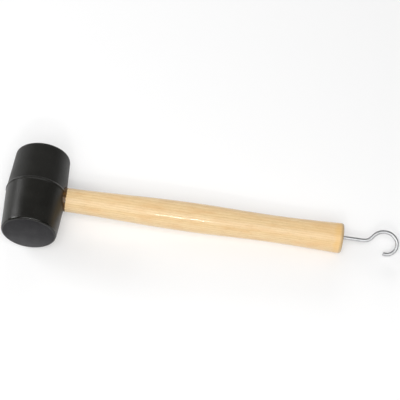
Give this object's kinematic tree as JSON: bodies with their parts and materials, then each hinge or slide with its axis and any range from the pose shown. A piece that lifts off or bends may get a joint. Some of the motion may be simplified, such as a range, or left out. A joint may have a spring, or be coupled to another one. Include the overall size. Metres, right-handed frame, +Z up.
{
  "type": "rubber mallet",
  "caption": "Camping mallet: double-tapered black rubber head on a turned wooden handle, with a steel wire hook in the butt.",
  "frame": {"origin": "centre of the bounding box on the surface that the mallet lies on", "axes": "+X along the handle from the head towards the hook, +Y along the head's own axis, +Z up"},
  "size_m": [0.3896, 0.09, 0.0606],
  "materials": {
    "rubber": "moulded black rubber, satin",
    "lacquered_wood": "pale close-grained wood, sanded and clear lacquered",
    "plated_steel": "bright zinc plate on drawn wire"
  },
  "bodies": {
    "root": {"rubber_head": "rubber", "handle": "lacquered_wood", "peg_hook": "plated_steel"}
  },
  "joints": []
}
